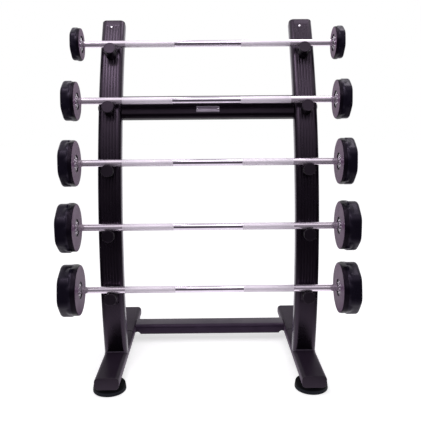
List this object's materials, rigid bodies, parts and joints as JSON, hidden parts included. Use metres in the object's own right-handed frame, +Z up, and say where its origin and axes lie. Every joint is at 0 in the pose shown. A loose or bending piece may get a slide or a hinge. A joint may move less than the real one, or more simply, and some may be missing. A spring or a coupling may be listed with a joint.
{
  "type": "barbell storage rack",
  "caption": "Open floor rack with bowed uprights and side pegs that hold straight barbells with faceted fixed heads, one above the other.",
  "frame": {"origin": "on the floor, at the middle of the box around the rack and its barbells", "axes": "+Z up; -Y is the front, where the barbells are lifted off; +X is to the right as seen from the front"},
  "size_m": [1.118, 0.728, 1.3773],
  "materials": {
    "frame_black": "semi-gloss black paint",
    "cap_black": "moulded black plastic",
    "peg_black": "satin black plastic",
    "foot_black": "moulded black rubber",
    "head_black": "glossy cast black rubber",
    "core_iron": "machined dark iron",
    "bolt_grey": "black oxide",
    "bar_chrome": "bright chrome, with knurled grips",
    "bright_steel": "polished",
    "plate_silver": "satin"
  },
  "bodies": {
    "rack": {"base_leg_left": "frame_black", "leg_cap_front_left": "cap_black", "foot_front_left": "foot_black", "leg_cap_rear_left": "cap_black", "foot_rear_left": "foot_black", "upright_left": "frame_black", "top_cap_left": "cap_black", "cap_screw_left": "bright_steel", "base_leg_right": "frame_black", "leg_cap_front_right": "cap_black", "foot_front_right": "foot_black", "leg_cap_rear_right": "cap_black", "foot_rear_right": "foot_black", "upright_right": "frame_black", "top_cap_right": "cap_black", "cap_screw_right": "bright_steel", "crossbeam_lower": "frame_black", "crossbeam_upper": "frame_black", "badge_plate": "plate_silver", "frame_bolt_upper_left": "bolt_grey", "frame_bolt_lower_left": "bolt_grey", "badge_rivet_left": "bright_steel", "frame_bolt_upper_right": "bolt_grey", "frame_bolt_lower_right": "bolt_grey", "badge_rivet_right": "bright_steel", "peg_1_left": "peg_black", "peg_1_right": "peg_black", "peg_2_left": "peg_black", "peg_2_right": "peg_black", "peg_3_left": "peg_black", "peg_3_right": "peg_black", "peg_4_left": "peg_black", "peg_4_right": "peg_black", "peg_5_left": "peg_black", "peg_5_right": "peg_black"},
    "barbell_1": {"barbell_1_bar": "bar_chrome", "barbell_1_cover_left": "head_black", "barbell_1_core_left": "core_iron", "barbell_1_cover_right": "head_black", "barbell_1_core_right": "core_iron"},
    "barbell_2": {"barbell_2_bar": "bar_chrome", "barbell_2_cover_left": "head_black", "barbell_2_core_left": "core_iron", "barbell_2_cover_right": "head_black", "barbell_2_core_right": "core_iron"},
    "barbell_3": {"barbell_3_bar": "bar_chrome", "barbell_3_cover_left": "head_black", "barbell_3_core_left": "core_iron", "barbell_3_cover_right": "head_black", "barbell_3_core_right": "core_iron"},
    "barbell_4": {"barbell_4_bar": "bar_chrome", "barbell_4_cover_left": "head_black", "barbell_4_core_left": "core_iron", "barbell_4_cover_right": "head_black", "barbell_4_core_right": "core_iron"},
    "barbell_5": {"barbell_5_bar": "bar_chrome", "barbell_5_cover_left": "head_black", "barbell_5_core_left": "core_iron", "barbell_5_cover_right": "head_black", "barbell_5_core_right": "core_iron"}
  },
  "joints": [
    {"name": "barbell_1_lift", "type": "slide", "parent": "rack", "child": "barbell_1", "axis": [0, -0.5124, 0.8587], "range_m": [0, 0.3]},
    {"name": "barbell_2_lift", "type": "slide", "parent": "rack", "child": "barbell_2", "axis": [0, -0.6201, 0.7845], "range_m": [0, 0.3]},
    {"name": "barbell_3_lift", "type": "slide", "parent": "rack", "child": "barbell_3", "axis": [0, -0.7172, 0.6969], "range_m": [0, 0.3]},
    {"name": "barbell_4_lift", "type": "slide", "parent": "rack", "child": "barbell_4", "axis": [0, -0.802, 0.5973], "range_m": [0, 0.3]},
    {"name": "barbell_5_lift", "type": "slide", "parent": "rack", "child": "barbell_5", "axis": [0, -0.8731, 0.4875], "range_m": [0, 0.3]}
  ]
}
